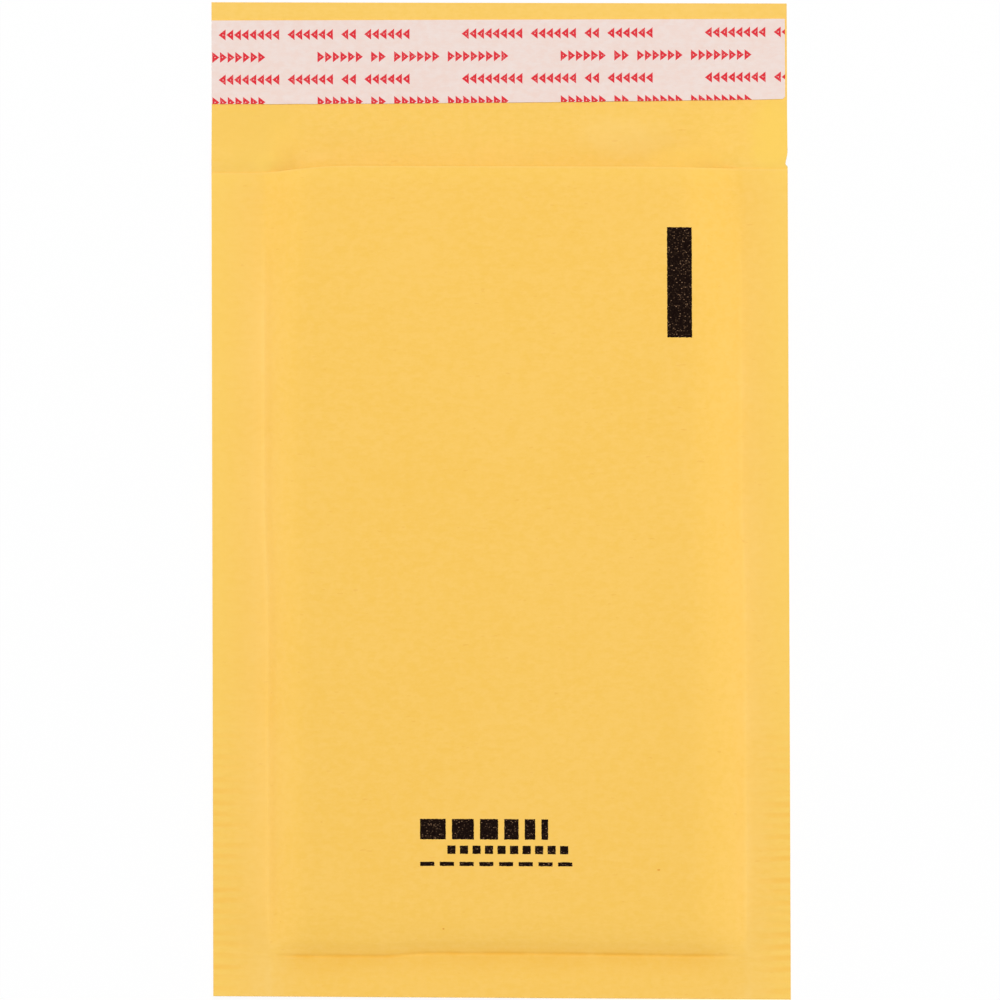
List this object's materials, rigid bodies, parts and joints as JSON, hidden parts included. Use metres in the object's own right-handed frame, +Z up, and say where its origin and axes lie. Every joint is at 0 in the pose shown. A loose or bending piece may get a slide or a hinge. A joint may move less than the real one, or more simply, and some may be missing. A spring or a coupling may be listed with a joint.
{
  "type": "bubble mailer",
  "caption": "Flat kraft paper postal envelope with a bubble film lining, crimped side seams and an open flap with a covered adhesive strip.",
  "frame": {"origin": "centre of the mailer's outline, on the surface that its back lies on", "axes": "+Y from the folded end to the end of the flap, +Z up out of the printed front, +X to the right seen from above"},
  "size_m": [0.1524, 0.2625, 0.0113],
  "materials": {
    "kraft": "matt",
    "film": "clear gloss",
    "adhesive": "tacky gloss",
    "liner": "silicone-coated satin"
  },
  "bodies": {
    "root": {"kraft_envelope": "kraft", "bubble_lining": "film", "adhesive_strip": "adhesive", "release_liner": "liner"}
  },
  "joints": []
}
